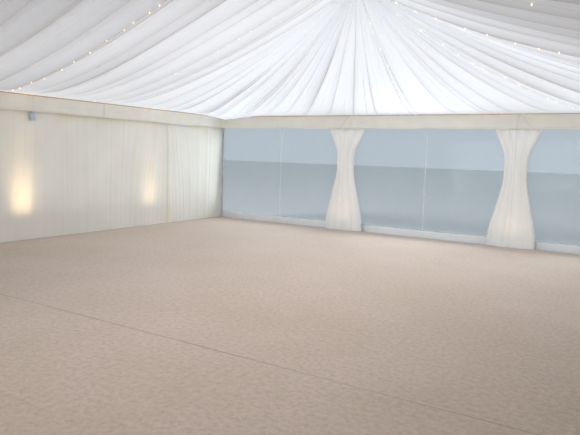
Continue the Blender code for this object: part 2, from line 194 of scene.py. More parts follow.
def wander(seed, *coordinates):
    """Smooth noise from -1 to 1 over one or two coordinates, with a period of about one unit."""
    draw = np.random.default_rng(seed)
    table = draw.uniform(-1, 1, (64, 64))
    first = np.asarray(coordinates[0], float)
    second = np.asarray(coordinates[1], float) if len(coordinates) > 1 else np.zeros_like(first)
    first, second = np.broadcast_arrays(first, second)
    i, j = np.floor(first).astype(int), np.floor(second).astype(int)
    a, b = first - i, second - j
    a, b = a * a * (3 - 2 * a), b * b * (3 - 2 * b)
    near = table[i % 64, j % 64] * (1 - b) + table[i % 64, (j + 1) % 64] * b
    far = table[(i + 1) % 64, j % 64] * (1 - b) + table[(i + 1) % 64, (j + 1) % 64] * b
    return near * (1 - a) + far * a


# Materials


def socket(shader, **values):
    """Sets a Principled shader's own sockets, with underscores for spaces in their names."""
    for name, value in values.items():
        shader.inputs[name.replace("_", " ")].default_value = value


def new_material(name, **values):
    """A material, and its Principled shader with these values."""
    made = bpy.data.materials.new(name)
    made.use_nodes = True
    shader = made.node_tree.nodes["Principled BSDF"]
    socket(shader, **values)
    return made, shader


def new_node(owner, kind):
    """A new node in the tree that a node or socket belongs to."""
    return owner.id_data.nodes.new("ShaderNode" + kind)


def link(value, target):
    """Links an output to an input."""
    value.id_data.links.new(value, target)


def texture(shader, scale, kind="Noise", stretch=None, place=None, **values):
    """A texture on object coordinates or on a place given, stretched by a scale for each axis."""
    place = place or new_node(shader, "TexCoord").outputs["Object"]
    made = new_node(shader, "Tex" + kind)
    made.inputs["Scale"].default_value = scale
    for name, value in values.items():
        made.inputs[name].default_value = value
    if stretch:
        mapping = new_node(shader, "Mapping")
        mapping.inputs["Scale"].default_value = stretch
        link(place, mapping.inputs["Vector"])
        place = mapping.outputs["Vector"]
    link(place, made.inputs["Vector"])
    return made.outputs["Fac" if kind == "Noise" else "Distance"]


def mixed(factor, first, second):
    """A colour that goes from first to second as factor goes from 0 to 1."""
    mix = new_node(factor, "Mix")
    mix.data_type = "RGBA"
    link(factor, mix.inputs["Factor"])
    for name, value in (("A", first), ("B", second)):
        target = [s for s in mix.inputs if s.name == name and s.type == "RGBA"][0]
        if isinstance(value, tuple):
            target.default_value = (*value, 1.0)
        else:
            link(value, target)
    return [s for s in mix.outputs if s.type == "RGBA"][0]


def limits(value, low, high, start=0.0, end=1.0):
    """Maps value from low..high to start..end, clamped."""
    made = new_node(value, "MapRange")
    for name, number in (("From Min", low), ("From Max", high), ("To Min", start), ("To Max", end)):
        made.inputs[name].default_value = number
    link(value, made.inputs["Value"])
    return made.outputs["Result"]


def attribute(shader, name):
    """A value stored on the mesh's points."""
    made = new_node(shader, "Attribute")
    made.attribute_name = name
    return made.outputs["Fac"]


def math_node(operation, first, second, third=None):
    """A sum or product of outputs and numbers."""
    made = new_node(first, "Math")
    made.operation = operation
    link(first, made.inputs[0])
    for number, value in ((1, second), (2, third)):
        if isinstance(value, float):
            made.inputs[number].default_value = value
        elif value:
            link(value, made.inputs[number])
    return made


def bump(shader, height, strength, distance, under=None):
    """A bump from height onto the shader, over another bump if one is given."""
    made = new_node(shader, "Bump")
    made.inputs["Strength"].default_value = strength
    made.inputs["Distance"].default_value = distance
    link(height, made.inputs["Height"])
    if under:
        link(under, made.inputs["Normal"])
    link(made.outputs["Normal"], shader.inputs["Normal"])
    return made.outputs["Normal"]


def cloth(name, colour, shade, weave, crease_strength=1.0, rumple=0.35, patch=(0.7, 0.95)):
    """Matte woven cloth: a fine weave, slow changes of tone, and painted shade that makes its folds darker
    and warmer.
    """
    made, shader = new_material(name, Roughness=0.9)
    socket(shader, Sheen_Weight=0.15, Sheen_Roughness=0.5, Specular_IOR_Level=0.25)
    tone = limits(texture(shader, patch[0], Detail=4.0), 0.35, 0.65)
    base = mixed(tone, tuple(c * patch[1] for c in colour), colour)
    # Painted shade: where the points' crease values are high, the colour goes over to the shade colour.
    fold = limits(attribute(shader, "crease"), 0.0, 1.0, 0.0, crease_strength)
    link(mixed(fold, base, shade), shader.inputs["Base Color"])
    under = bump(shader, texture(shader, 3.0, Detail=5.0, Roughness=0.6), rumple, 0.02)
    bump(shader, texture(shader, weave, "Voronoi"), 0.25, 0.0006, under)
    return made


def lining_voile():
    """White lining cloth: fine gathers along its folds, painted shade in bands and thin lines at its folds,
    and a faint painted light for daylight through the roof, weaker in the painted bands where the cloth
    doubles over.
    """
    made, shader = new_material("lining_cloth", Roughness=0.85, Emission_Strength=0.24)
    socket(shader, Sheen_Weight=0.12, Sheen_Roughness=0.4, Specular_IOR_Level=0.25)
    sheet = new_node(shader, "CombineXYZ")
    link(attribute(shader, "along"), sheet.inputs["X"])
    link(attribute(shader, "up"), sheet.inputs["Y"])
    sheet = sheet.outputs["Vector"]
    tone = limits(texture(shader, 1.6, stretch=(1.0, 1.2, 1.0), place=sheet, Detail=3.0), 0.3, 0.7)
    base = mixed(tone, (0.82, 0.845, 0.885), (0.875, 0.895, 0.925))
    # Painted shade: a band that darkens towards each fold (shade) and a thin brown line at it (crease).
    painted_band_shade = limits(attribute(shader, "shade"), 0.0, 1.0, 0.0, 0.95)
    line = limits(attribute(shader, "crease"), 0.0, 1.0, 0.0, 0.95)
    surface = mixed(line, mixed(painted_band_shade, base, (0.52, 0.50, 0.515)), (0.42, 0.35, 0.30))
    link(surface, shader.inputs["Base Color"])
    # Painted light: the emission stands in for daylight through the roof, dimmer in the painted shade and
    # dimmer still on the fold lines.
    painted_glow = mixed(painted_band_shade, (0.86, 0.92, 1.0), (0.36, 0.36, 0.40))
    painted_glow = mixed(line, painted_glow, (0.25, 0.21, 0.19))
    # The painted light fades out towards the front and the right of the tent, as painted shade over that part
    # of the roof.
    split = new_node(shader, "SeparateXYZ")
    link(new_node(shader, "TexCoord").outputs["Object"], split.inputs["Vector"])
    lean = math_node("MULTIPLY_ADD", split.outputs["X"], -0.55, split.outputs["Y"])
    daylight = limits(lean.outputs[0], 0.55, 2.2)
    link(mixed(daylight, (0.02, 0.04, 0.06), painted_glow), shader.inputs["Emission Color"])
    gathers = texture(shader, 9.0, stretch=(1.0, 0.14, 1.0), place=sheet, Detail=3.0, Roughness=0.55)
    under = bump(shader, gathers, 0.6, 0.04)
    fine = texture(shader, 28.0, stretch=(1.0, 0.10, 1.0), place=sheet, Detail=2.0)
    under = bump(shader, fine, 0.4, 0.010, under)
    bump(shader, texture(shader, 700.0, "Voronoi"), 0.15, 0.0005, under)
    return made


def coated_cloth():
    """White coated polyester: a faint sheen, welds at the bays and a little grime in upright streaks."""
    made, shader = new_material("cover_pvc", Roughness=0.42)
    socket(shader, Specular_IOR_Level=0.45, Coat_Weight=0.15, Coat_Roughness=0.3)
    tone = limits(texture(shader, 1.1, Detail=4.0), 0.35, 0.7)
    base = mixed(tone, (0.78, 0.78, 0.76), (0.86, 0.86, 0.85))
    weld = attribute(shader, "weld")
    seamed = mixed(weld, base, (0.70, 0.70, 0.69))
    grime = limits(texture(shader, 2.0, stretch=(3.0, 3.0, 0.4), Detail=6.0), 0.55, 0.8, 0.0, 0.25)
    link(mixed(grime, seamed, (0.60, 0.59, 0.54)), shader.inputs["Base Color"])
    under = bump(shader, texture(shader, 1.6, Detail=4.0), 0.4, 0.03)
    under = bump(shader, weld, 0.6, 0.002, under)
    bump(shader, texture(shader, 420.0, "Voronoi"), 0.12, 0.0004, under)
    return made


def clear_sheet():
    """Clear flexible sheet: glossy and rippled, cloudier along its welds."""
    made, shader = new_material("clear_pvc", Roughness=0.06)
    socket(shader, Base_Color=(0.80, 0.90, 0.93, 1.0), Specular_IOR_Level=0.6, IOR=1.45)
    cloudy = limits(texture(shader, 2.5, Detail=5.0), 0.35, 0.75, 0.07, 0.16)
    add = math_node("ADD", cloudy, limits(attribute(shader, "weld"), 0.0, 1.0, 0.0, 0.26))
    add.use_clamp = True
    link(add.outputs[0], shader.inputs["Alpha"])
    bump(shader, texture(shader, 5.0, Detail=3.0), 0.3, 0.01)
    return made


def carpet_pile():
    """Flat needle-punch carpet: pinkish beige, flecked, with faint trodden patches."""
    made, shader = new_material("carpet", Roughness=0.96, Specular_IOR_Level=0.1, Sheen_Weight=0.2)
    patches = limits(texture(shader, 0.8, Detail=5.0, Roughness=0.6), 0.35, 0.65)
    base = mixed(patches, (0.545, 0.425, 0.33), (0.60, 0.475, 0.385))
    fleck = texture(shader, 26.0, Detail=6.0, Roughness=0.75)
    light_fleck = mixed(limits(fleck, 0.5, 0.72, 0.0, 0.55), base, (0.74, 0.62, 0.52))
    flecked = mixed(limits(fleck, 0.5, 0.28, 0.0, 0.6), light_fleck, (0.36, 0.26, 0.19))
    edge = mixed(attribute(shader, "crease"), flecked, (0.25, 0.19, 0.15))
    link(edge, shader.inputs["Base Color"])
    under = bump(shader, texture(shader, 2.2, Detail=4.0), 0.35, 0.02)
    bump(shader, texture(shader, 500.0, Detail=2.0), 0.5, 0.0015, under)
    return made


def toned(name, roughness, pattern, span, first, second, **values):
    """A material whose colour goes from first to second with a noise, its shader and that noise."""
    made, shader = new_material(name, Roughness=roughness, **values)
    noise = texture(shader, **pattern)
    link(mixed(limits(noise, *span), first, second), shader.inputs["Base Color"])
    return made, shader, noise


def extrusion():
    """Mill-finish aluminium, drawn along its length, with dull patches."""
    made, shader, patch = toned("frame_aluminium", 0.38, {"scale": 4.0, "Detail": 5.0}, (0.3, 0.7),
                                (0.58, 0.59, 0.61), (0.76, 0.77, 0.78), Metallic=1.0)
    link(limits(patch, 0.3, 0.7, 0.48, 0.3), shader.inputs["Roughness"])
    bump(shader, texture(shader, 60.0, stretch=(1.0, 1.0, 0.02), Detail=4.0), 0.15, 0.001)
    return made


def floor_boards():
    """Plywood deck boards, seen at the deck's edges."""
    pattern = {"scale": 9.0, "stretch": (0.4, 6.0, 6.0), "Detail": 8.0}
    made, shader, grain = toned("floor_boards", 0.7, pattern, (0.3, 0.7),
                                (0.30, 0.19, 0.10), (0.55, 0.40, 0.24))
    bump(shader, grain, 0.3, 0.002)
    return made


def moulded_plastic():
    """Grey-blue moulded plastic with a fine grain."""
    made, shader, _ = toned("grey_plastic", 0.45, {"scale": 40.0, "Detail": 4.0}, (0.4, 0.75),
                            (0.40, 0.46, 0.54), (0.52, 0.58, 0.66))
    bump(shader, texture(shader, 900.0, Detail=2.0), 0.2, 0.0003)
    return made


def wire_sleeve():
    """Clear-white sleeve of the string lights' wire, slightly yellowed."""
    return toned("wire_sleeve", 0.4, {"scale": 30.0, "Detail": 2.0}, (0.35, 0.7),
                 (0.62, 0.60, 0.54), (0.78, 0.77, 0.72))[0]


def lamp_glass():
    """The string lights' small warm lamps."""
    made, shader = new_material("lamp_glass", Roughness=0.3, Base_Color=(1.0, 0.9, 0.7, 1.0))
    socket(shader, Emission_Color=(1.0, 0.78, 0.30, 1.0), Emission_Strength=2.0)
    return made


# Meshes


def new_piece(data, material, smooth=False):
    """A piece of the tent from a mesh or curve, which rides on its one body."""
    if smooth:
        data.polygons.foreach_set("use_smooth", np.ones(len(data.polygons), bool))
    data.materials.append(material)
    made = bpy.data.objects.new(data.name, data)
    bpy.context.scene.collection.objects.link(made)
    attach(made, "root")
    return made


def sheet_mesh(name, points, material, slot, **values):
    """A smooth sheet through a grid of points, rows by columns, with values on its points."""
    rows, columns = points.shape[:2]
    index = np.arange(rows * columns).reshape(rows, columns)
    faces = np.stack([index[:-1, :-1], index[:-1, 1:], index[1:, 1:], index[1:, :-1]], axis=-1)
    data = bpy.data.meshes.new(name)
    data.from_pydata(points.reshape(-1, 3).tolist(), [], faces.reshape(-1, 4).tolist())
    for key, value in values.items():
        layer = data.attributes.new(key, "FLOAT", "POINT")
        layer.data.foreach_set("value", np.ascontiguousarray(value, dtype=np.float32).ravel())
    return new_piece(data, material, smooth=True)


def solid_piece(name, source, material, smooth=True):
    """A small hard piece from a bmesh, which is used up."""
    data = bpy.data.meshes.new(name)
    source.to_mesh(data)
    source.free()
    return new_piece(data, material, smooth)


def lining_height(points, up):
    """Height of the solid's lining, with its hips rounded the way that cloth hangs across them."""
    across = np.abs(points[..., 0]) / WALL_X
    along = np.clip((np.abs(points[..., 1]) - RIDGE_Y) / (WALL_Y - RIDGE_Y), 0, None)
    power = HIP_ROUNDING + 30 * (1 - up) ** 4
    reach = (across**power + along**power) ** (1 / power)
    up = np.clip(1 - reach, 0, 1)
    return EAVE_Z + LINING_RISE * (STRAIGHT_SHARE * up + (1 - STRAIGHT_SHARE) * up**SAG_POWER)


def fold_lines(mains, length, seed):
    """Fold lines along an edge: the main ones, each with its depth, and lesser ones between them."""
    draw = np.random.default_rng(seed)
    lines = [(0.0, draw.uniform(*FOLD_DEPTH), 0.0, 1.0)]
    for place in (*mains, length):
        last = lines[-1][0]
        count = int(round((place - last) / LESSER_WIDTH)) - 1
        for number in range(max(count, 0)):
            share = (number + 1 + draw.uniform(-0.28, 0.28)) / (count + 1)
            foot = draw.choice([0.0, 0.0, 0.15, 0.35])
            depth = draw.uniform(*LESSER_DEPTH)
            lines.append((last + share * (place - last), depth, foot, draw.uniform(0.45, 1.2)))
        lines.append((place, draw.uniform(*FOLD_DEPTH), 0.0, 1.2))
    return lines


def pleated_lining(
    name, node, wall_point, top_point, mains, middle, length, narrows, corners, seed, material,
):
    """A sheet of lining from the eave to its top, in folds that narrow as it is gathered.

    Each fold comes down slowly towards the middle of the end and goes back up sharply at its line.
    """
    lines = fold_lines(mains, length, seed)
    across = np.array([0.0, 0.04, 0.13, 0.26, 0.40, 0.54, 0.67, 0.78, 0.87, 0.93, 0.96, 0.98])
    place, share, depth, foot, head, width, lean = [], [], [], [], [], [], []
    for first, second in zip(lines[:-1], lines[1:]):
        gap = second[0] - first[0]
        forward = (first[0] + second[0]) / 2 < middle
        deep = second if forward else first
        steps = across if forward else np.append(0.0, 1 - across[:0:-1])
        place.append(first[0] + gap * steps)
        share.append(steps if forward else 1 - steps)
        facts = (*deep[1:], gap, 1 if forward else -1)
        for target, value in zip((depth, foot, head, width, lean), facts):
            target.append(np.full(len(steps), value))
    place = np.append(np.concatenate(place), length)
    share = np.append(np.concatenate(share), share[-1][-1])
    share[-1] = 1.0 if lean[-1][0] > 0 else 0.0
    depth, foot, head, width, lean = (
        np.append(np.concatenate(v), v[-1][-1])[None, :] for v in (depth, foot, head, width, lean)
    )
    up = np.linspace(0, 1, LINING_ROWS)[:, None] ** 1.15
    local = width * (1 - up * narrows)
    alive = ramp(up, foot - 0.12, foot + 0.06) * (1 - ramp(up, head - 0.25, head))
    held = ramp(up, 0.01, 0.16) * (1 - 0.6 * ramp(up, 0.96, 1.0))
    vary = 0.7 + 0.3 * wander(seed + 1, place[None, :] * 1.4, up * 3.0)
    size = np.minimum(local * depth, DEEPEST_FOLD) * alive * held * vary
    size = size * (1 - 0.6 * narrows * ramp(up, 0.55, 1.0))
    t = share[None, :]
    drop = size * np.clip(t, 0, 0.94) ** 1.6 / 0.94**1.6 * (1 - ramp(t, 0.94, 1.0))
    drop = drop + 0.012 * held * wander(seed + 2, place[None, :] * 2.3, up * 2.0) * (1 - 0.7 * up * narrows)
    lip = lean * 0.45 * size * ramp(t, 0.70, 0.94) * (1 - ramp(t, 0.955, 1.0))
    station = place[None, :] + lip / np.maximum(1 - up * narrows, 0.08)
    station = np.clip(station, 0, length)
    wall, top = wall_point(station), top_point(station)
    points = wall + (top - wall) * up[..., None]
    for corner in corners:
        near = bell(place - corner, CORNER_REACH)[None, :]
        drop = drop + CORNER_SAG * near * ramp(up, 0.0, 0.05) * (1 - ramp(up, 0.06, 0.35))
    points[..., 2] = lining_height(points, up) - drop
    # Painted shade for the lining: crease is a thin dark line at each fold, shade a band that darkens towards
    # it; both fade near the fans' top.
    strength = np.clip(depth / FOLD_DEPTH[1], 0, 1) * alive * ramp(up, 0.0, 0.10) * vary
    strength = strength * (1 - 0.65 * narrows * ramp(up, 0.45, 0.95))
    line = bell((1 - t) * np.maximum(local / 0.024, 7), 1) * strength**0.9
    shade = (0.3 * t**1.5 + 0.7 * np.exp(-(1 - t) * np.maximum(local / 0.09, 3))) * strength
    made = sheet_mesh(
        name, points, material, "lining_cloth", crease=np.clip(line, 0, 1), shade=np.clip(shade, 0, 1),
        along=station + 0 * up, up=up + 0 * station,
    )
    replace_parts(made, node)
    return made


def roof_linings(material):
    """Two fans that gather at the ridge's ends, and two sheets with level pleats between them."""
    side, end = WALL_Y - RIDGE_Y, 2 * WALL_X
    reach = np.array([0, side, side + end, 2 * side + end])
    for name, sign in ENDS:
        corners = np.array([
            [-WALL_X, sign * RIDGE_Y, EAVE_Z], [-WALL_X, sign * WALL_Y, EAVE_Z],
            [WALL_X, sign * WALL_Y, EAVE_Z], [WALL_X, sign * RIDGE_Y, EAVE_Z],
        ])

        def wall_point(place, corners=corners):
            return np.stack([np.interp(place, reach, corners[:, axis]) for axis in range(3)], axis=-1)

        def top_point(place, sign=sign):
            return np.broadcast_to([0.0, sign * RIDGE_Y, EAVE_Z], (*place.shape, 3))

        mains, middle, seed = (BACK_FOLDS, BACK_MIDDLE, 11) if sign > 0 else (FRONT_FOLDS, FRONT_MIDDLE, 29)
        fan = pleated_lining(
            f"roof_lining_{name}_fan", f"roof_lining_{name}", wall_point, top_point,
            mains, middle, reach[-1], 1.0, reach[1:3], seed, material,
        )
    for name, sign in SIDES:

        def wall_point(place, x=sign * WALL_X):
            return np.stack(np.broadcast_arrays(x, place - RIDGE_Y, EAVE_Z), axis=-1)

        def top_point(place):
            return wall_point(place, 0.0)

        mains = tuple(place + RIDGE_Y for place in (LEFT_FOLDS if sign < 0 else RIGHT_FOLDS))
        bays = pleated_lining(
            f"roof_lining_{name}_bays", f"roof_lining_{name}", wall_point, top_point,
            mains, 2 * RIDGE_Y + 1, 2 * RIDGE_Y, 0.0, (), 41 if sign < 0 else 53, material,
        )


def string_lights(wire_material, lamp_material):
    """Small lamps on thin wires, clipped under the lining from its ridge down to the eaves."""
    tree = BVHTree.FromPolygons(*lining_faces())
    routes = [(side, place) for side, places in SIDE_STRINGS.items() for place in places]
    routes += [("back", place) for place in END_STRINGS] + [("front", -place) for place in END_STRINGS]
    for number, (side, place) in enumerate(routes):
        draw = np.random.default_rng(700 + number)
        sign = 1 if side in ("right", "back") else -1
        if side in ("left", "right"):
            eave, top = np.array([sign * WALL_X, place]), np.array([0.0, place])
        else:
            eave, top = np.array([place, sign * WALL_Y]), np.array([0.0, sign * RIDGE_Y])
        slope = math.hypot(*(top - eave), LINING_RISE)
        span = (top - eave) / math.hypot(*(top - eave))
        across = np.array([-span[1], span[0]])
        ups = np.linspace(*STRING_REACH, int(slope * (STRING_REACH[1] - STRING_REACH[0]) / WIRE_STEP))
        drift = 0.05 * wander(720 + number, ups * 9.0) * (1 - ups)
        places = eave + (top - eave) * ups[:, None] + across * drift[:, None]
        gap = WIRE_GAP + WIRE_SAG * np.abs(np.sin(ups * slope / CLIP_SPACING * np.pi))
        route = []
        for spot, off in zip(places, gap):
            found = tree.ray_cast(Vector((*spot, 1.0)), Vector((0, 0, 1)))[0]
            route.append(found - Vector((0, 0, off)))
        wire = tube(f"string_wire_{side}_{number}", route, WIRE_RADIUS, wire_material)
        bulbs = bmesh.new()
        step = 0
        while step < len(route) - 1:
            lamp_shape(bulbs, route[step], draw.uniform(0, 2 * math.pi))
            step += int(draw.integers(3, 8))
        solid_piece(f"string_lamps_{side}_{number}", bulbs, lamp_material).parent = wire


def lining_faces():
    """Every face of the lining's sheets, to hang things from."""
    points, faces = [], []
    for thing in bpy.data.objects:
        if thing.name.startswith("roof_lining_") and thing.name.endswith(("_fan", "_bays")):
            faces += [[len(points) + index for index in face.vertices] for face in thing.data.polygons]
            points += [vertex.co.copy() for vertex in thing.data.vertices]
    return points, faces


def lamp_shape(target, place, turn):
    """A pointed little lamp that hangs from place: a cap and a drop, turned about its own axis."""
    rings = []
    for radius, depth in LAMP_OUTLINE:
        angles = [turn + number * math.pi / 4 for number in range(8)]
        spots = [Vector((radius * math.cos(angle), radius * math.sin(angle), depth)) for angle in angles]
        rings.append([target.verts.new(place + spot) for spot in spots])
    tip = target.verts.new(place + Vector((0, 0, LAMP_TIP)))
    cap = target.verts.new(place + Vector((0, 0, LAMP_CAP)))
    for first, second in zip(rings[:-1], rings[1:]):
        for number in range(8):
            after = (number + 1) % 8
            target.faces.new((first[number], first[after], second[after], second[number]))
    for number in range(8):
        after = (number + 1) % 8
        target.faces.new((rings[-1][number], rings[-1][after], tip))
        target.faces.new((rings[0][after], rings[0][number], cap))


def tube(name, route, radius, material):
    """A thin round line through some points."""
    data = bpy.data.curves.new(name, "CURVE")
    data.dimensions = "3D"
    data.bevel_depth = radius
    data.bevel_resolution = 2
    data.use_fill_caps = True
    spline = data.splines.new("POLY")
    spline.points.add(len(route) - 1)
    for target, point in zip(spline.points, route):
        target.co = (*point, 1.0)
    return new_piece(data, material)


def pelmet_point(side, place, off, height):
    """A point on a pelmet, off its face towards the room: a straight run and half of each corner."""
    lengthwise = side in ("left", "right")
    sign = -1 if side in ("left", "front") else 1
    face = (PELMET_IN_X if lengthwise else PELMET_IN_Y) + PELMET_THICKNESS / 3
    straight = (PELMET_IN_Y if lengthwise else PELMET_IN_X) + PELMET_THICKNESS / 3 - PELMET_BEND
    turn = np.clip(np.abs(place) - straight, 0, None) / PELMET_BEND
    along = np.sign(place) * (np.minimum(np.abs(place), straight) + (PELMET_BEND - off) * np.sin(turn))
    out = sign * (face - PELMET_BEND + (PELMET_BEND - off) * np.cos(turn))
    along, out, height = np.broadcast_arrays(along, out, height)
    return np.stack([out, along, height] if lengthwise else [along, out, height], axis=-1)


def pelmets(material, cord_material):
    """The ivory band under the lining: puckered at its top, hemmed, and lapped at each leg."""
    for number, side in enumerate(("left", "right", "back", "front")):
        low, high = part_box(f"pelmet_{side}")
        axis = 1 if side in ("left", "right") else 0
        straight = (PELMET_IN_Y if axis else PELMET_IN_X) + PELMET_THICKNESS / 3 - PELMET_BEND
        half = straight + PELMET_BEND * math.pi / 4
        place = np.linspace(-half, half, int(2 * half / 0.022))[None, :]
        down = np.array([*np.linspace(0, 0.88, 20), 0.90, 0.915, 0.93, 0.95, 0.97, 0.985, 1.0])[:, None]
        depth = high[2] - low[2] - 0.006
        hem = 0.007 * wander(60 + number, place * 1.1) + 0.004 * wander(70 + number, place * 3.1)
        off = PELMET_WAVE * wander(80 + number, place * 1.1, down * 1.4) * (0.3 + 0.7 * down)
        off = off + 0.0025 * wander(90 + number, place * 0.6, down * 6.0)
        wrinkles = wander(96 + number, place * 5.0 + 1.5 * down, down * 2.5 + place) * np.sin(np.pi * down)
        puckers = np.sin(2 * np.pi * place / PUCKER_WIDTH + 2 * wander(94 + number, place * 2))
        off = off + 0.0035 * wrinkles + 0.0022 * puckers * (1 - ramp(down, 0.0, 0.30))
        off = off + 0.002 * ramp(down, 0.905, 0.93)
        # Painted shade: a dark line along the turned hem.
        crease = 0.45 * bell(down - 0.915, 0.012) + 0 * place
        joints = [k * BAY for k in range(-1, 2)] if axis else [-BAY / 2, BAY / 2]
        for joint in joints:
            joint = joint - 0.2 if side == "left" else joint
            away = place - joint + (0.02 * down if axis or joint > 0 else 0.16 * (down - 0.3))
            lap = bell(away, 0.20)
            off = off + 0.006 * ramp(away, -0.004, 0.004) * lap
            diagonal = away - 0.05 - 0.20 * down
            soft = (0.0 if axis else 1.0) * np.sin(np.pi * down)
            off = off + 0.005 * bell(diagonal, 0.03) * soft
            beside = ramp(away, 0.12, 0.2) * (1 - ramp(away, 0.4, 0.55))
            off = off + 0.006 * bell(down - 0.45, 0.06) * beside
            # Painted shade at each leg: a dark line at the lap's edge and a soft one along its diagonal fold.
            crease = crease + 0.75 * bell(away, 0.012) * (1 - 0.6 * down)
            crease = crease + 0.22 * bell(diagonal + 0.03, 0.03) * soft
        height = high[2] - 0.002 - (depth - hem) * down
        points = pelmet_point(side, place, off, height)
        crease = np.clip(crease, 0, 1)
        made = sheet_mesh(f"pelmet_band_{side}", points, material, "ivory_cloth", crease=crease)
        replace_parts(made, f"pelmet_{side}")
        place = place[0, ::4]
        off = 0.004 + 0.002 * wander(98 + number, place * 1.5)
        route = pelmet_point(side, place, off, high[2] - 0.004)
        tube(f"pelmet_edging_{side}", route, EDGING_RADIUS[1 - axis], cord_material)


def uneven_folds(source, up, gaps, seed):
    """Round folds with sharp valleys, of uneven width and depth: their rise, 0 to 1, and a painted shade for
    their valleys.
    """
    draw = np.random.default_rng(seed)
    widths = draw.uniform(*gaps, int(16 / gaps[0]))
    places = -8 + np.cumsum(widths)
    depth, tone = draw.uniform(0.1, 1.0, len(widths)), draw.uniform(0, 1, len(widths)) ** 2
    number = np.searchsorted(places, source)
    width = widths[number]
    share = 1 - (places[number] - source) / width
    life = 0.6 + 0.4 * wander(seed + 1, number * 0.71, up * 1.4)
    size = depth[number] * life * width / gaps[1]
    # Painted shade in each valley, of a random strength for each fold.
    valley = bell(np.minimum(share, 1 - share) * width, 0.011)
    return size * np.sin(np.pi * share) ** 0.8, valley * (0.15 + 0.85 * tone[number]) * life


def curtains(material):
    """The gathered side curtains."""
    for number, (side, sign) in enumerate(SIDES):
        low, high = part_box(f"wall_lining_{side}")
        half = high[1] - 0.004
        place = np.linspace(-half, half, int(2 * half / CURTAIN_STEP))[None, :]
        up = np.linspace(0, 1, CURTAIN_ROWS)[:, None]
        away = place - GATHER_Y
        near = bell(away, GATHER_REACH)
        source = GATHER_Y + away * (1 + 1.2 * near * up**1.5)
        source = source + 0.09 * wander(104 + number, source * 0.9, up * 1.2)
        off, crease = uneven_folds(source, up, CURTAIN_GAPS, 120 + number)
        fine, fine_crease = uneven_folds(source + 0.02 * up, up, (0.02, 0.05), 130 + number)
        headed = 0.35 + 0.65 * ramp(up, 0.55, 1.0)
        broad = wander(112 + number, source * 1.6, up * 0.7) + 0.5 * wander(116 + number, source * 3.3, up)
        # The painted valley shade is stronger round the gather.
        fold_shade_strength = 0.45 + 0.65 * ramp(source, 3.2, 3.6) * (1 - ramp(source, 4.5, 4.9))
        # Painted shadow under the pelmet, over the curtain's top.
        painted_shadow_under_pelmet = 0.6 * ramp(up, 0.84, 0.93) * np.clip(0.2 + wander(118 + number, source * 2.5), 0, 1)
        crease = np.clip((crease + 0.3 * fine_crease * headed) * fold_shade_strength + painted_shadow_under_pelmet, 0, 1)
        off = 0.012 + (0.012 + 0.010 * ramp(source, 3.2, 4.2)) * off + 0.003 * headed * fine + 0.006 * broad
        off = np.clip(off, 0.001, 0.0395)
        height = low[2] + 0.001 + (high[2] - low[2] - 0.002) * up
        points = np.stack(np.broadcast_arrays(sign * (WALL_X - off), place, height), axis=-1)
        made = sheet_mesh(f"wall_curtain_{side}", points, material, "ivory_cloth", crease=crease)
        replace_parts(made, f"wall_lining_{side}")


def drape_profile(height, low, high):
    """Half width and depth of a leg drape at a height: wide, drawn in round the leg, wide again."""
    heights = [low, 0.31, 0.56, 0.77, 1.02, 1.12, 1.46, 1.54, 1.66, 1.78, 1.92, high]
    widths = [0.376, 0.358, 0.298, 0.250, 0.190, 0.174, 0.174, 0.192, 0.246, 0.300, 0.362, 0.364]
    depths = [0.125, 0.120, 0.112, 0.104, 0.096, 0.094, 0.094, 0.090, 0.076, 0.056, 0.036, 0.034]
    return smooth_through(height, heights, widths), smooth_through(height, heights, depths)


def smooth_through(value, keys, results):
    """Interpolates, then evens the corners out a little."""
    return sum(np.interp(value + shift, keys, results) for shift in (-0.06, -0.03, 0, 0.03, 0.06)) / 5


def leg_drapes(material):
    """Gathered cloth drawn in round the legs between the end walls' bays."""
    for end, sign_y in ENDS:
        for side, sign_x in SIDES:
            node = f"leg_drape_{end}_{side}"
            low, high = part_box(node)
            seed = 200 + 7 * sign_x + 3 * sign_y
            centre = (low[0] + high[0]) / 2
            up = np.linspace(0, 1, 72)[:, None]
            height = low[2] + 0.001 + (high[2] - low[2] - 0.002) * up
            half, depth = drape_profile(height, low[2], high[2])
            turn = np.linspace(0, np.pi, 150)[None, :]
            drift = 0.5 * wander(seed, turn * 2.0) + 0.3 * wander(seed + 1, turn * 1.5, up * 2.0)
            wave = np.sin(2 * np.pi * (DRAPE_FOLDS * turn / np.pi + drift))
            fine = np.sin(2 * np.pi * (DRAPE_FOLDS * 2.7 * turn / np.pi + 2 * drift))
            tight = ramp(half, 0.17, 0.36)
            size = (0.004 + 0.007 * tight) * (1 + 0.6 * wander(seed + 2, turn * 3.0, up * 1.5))
            fold = (wave * size + fine * 0.0016) * np.clip(np.sin(turn), 0, 1) ** 0.35
            x = centre + (half * np.cos(turn) * (1 - 0.02 * wave * tight))
            inward = np.clip(depth * (0.25 + 0.75 * np.sin(turn)) * 0.92 + fold - 0.004, 0.002, None)
            inward = np.minimum(inward, depth) * ramp(np.sin(turn), -0.1, 0.12)
            y = sign_y * (WALL_Y - np.maximum(inward, 0.001))
            points = np.stack(np.broadcast_arrays(x, y, height), axis=-1)
            # Painted shade in the fold valleys, stronger where the drape is drawn in.
            crease = np.clip(0.5 - 0.5 * wave, 0, 1) ** 3 * (0.15 + 0.25 * (1 - tight))
            made = sheet_mesh(f"tied_drape_{end}_{side}", points, material, "ivory_cloth", crease=crease)
            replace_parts(made, node)


